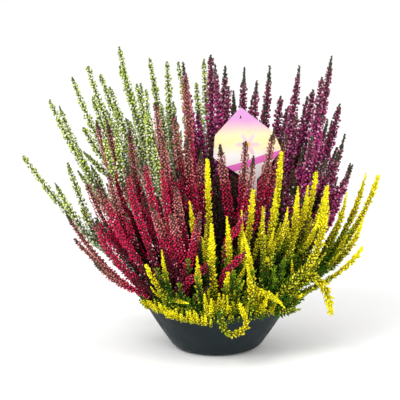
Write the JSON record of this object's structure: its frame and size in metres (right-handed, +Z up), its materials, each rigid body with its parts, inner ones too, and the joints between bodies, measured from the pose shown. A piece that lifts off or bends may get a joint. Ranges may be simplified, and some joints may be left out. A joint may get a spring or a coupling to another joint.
{
  "type": "potted heather",
  "caption": "Mixed planting of bud heathers in a dark plastic bowl, with white-green, crimson, purple and yellow spikes and a plastic picture tag.",
  "frame": {"origin": "centre of the bowl's underside, on the surface it stands on", "axes": "+Z up, -Y towards the front that the picture shows, +X to the right"},
  "size_m": [0.4372, 0.2821, 0.3659],
  "materials": {
    "bowl": "matte",
    "soil": "matte",
    "tag": "satin",
    "white_green": "matte",
    "white_bloom": "matte",
    "crimson_green": "matte",
    "crimson_bloom": "matte",
    "purple_green": "matte",
    "purple_bloom": "matte",
    "yellow_green": "matte",
    "yellow_bloom": "matte"
  },
  "bodies": {
    "root": {"bowl": "bowl", "crimson_spikes_1": "crimson_bloom", "crimson_spikes_2": "crimson_bloom", "crimson_spikes_3": "crimson_bloom", "crimson_spikes_4": "crimson_bloom", "crimson_spikes_5": "crimson_bloom", "crimson_spikes_6": "crimson_bloom", "crimson_spikes_7": "crimson_bloom", "crimson_stem_1": "crimson_green", "crimson_stem_2": "crimson_green", "crimson_stem_3": "crimson_green", "crimson_stem_4": "crimson_green", "crimson_stem_5": "crimson_green", "crimson_stem_6": "crimson_green", "crimson_stem_7": "crimson_green", "purple_spikes_1": "purple_bloom", "purple_spikes_2": "purple_bloom", "purple_spikes_3": "purple_bloom", "purple_spikes_4": "purple_bloom", "purple_spikes_5": "purple_bloom", "purple_spikes_6": "purple_bloom", "purple_stem_1": "purple_green", "purple_stem_2": "purple_green", "purple_stem_3": "purple_green", "purple_stem_4": "purple_green", "purple_stem_5": "purple_green", "purple_stem_6": "purple_green", "soil": "soil", "tag": "tag", "white_spikes_1": "white_bloom", "white_spikes_2": "white_bloom", "white_spikes_3": "white_bloom", "white_spikes_4": "white_bloom", "white_spikes_5": "white_bloom", "white_spikes_6": "white_bloom", "white_spikes_7": "white_bloom", "white_stem_1": "white_green", "white_stem_2": "white_green", "white_stem_3": "white_green", "white_stem_4": "white_green", "white_stem_5": "white_green", "white_stem_6": "white_green", "white_stem_7": "white_green", "yellow_shoots_1": "yellow_bloom", "yellow_shoots_2": "yellow_bloom", "yellow_shoots_3": "yellow_bloom", "yellow_shoots_4": "yellow_bloom", "yellow_shoots_5": "yellow_bloom", "yellow_shoots_6": "yellow_bloom", "yellow_shoots_7": "yellow_bloom", "yellow_shoots_8": "yellow_bloom", "yellow_stem_1": "yellow_green", "yellow_stem_2": "yellow_green", "yellow_stem_3": "yellow_green", "yellow_stem_4": "yellow_green", "yellow_stem_5": "yellow_green", "yellow_stem_6": "yellow_green", "yellow_stem_7": "yellow_green", "yellow_stem_8": "yellow_green"}
  },
  "joints": []
}
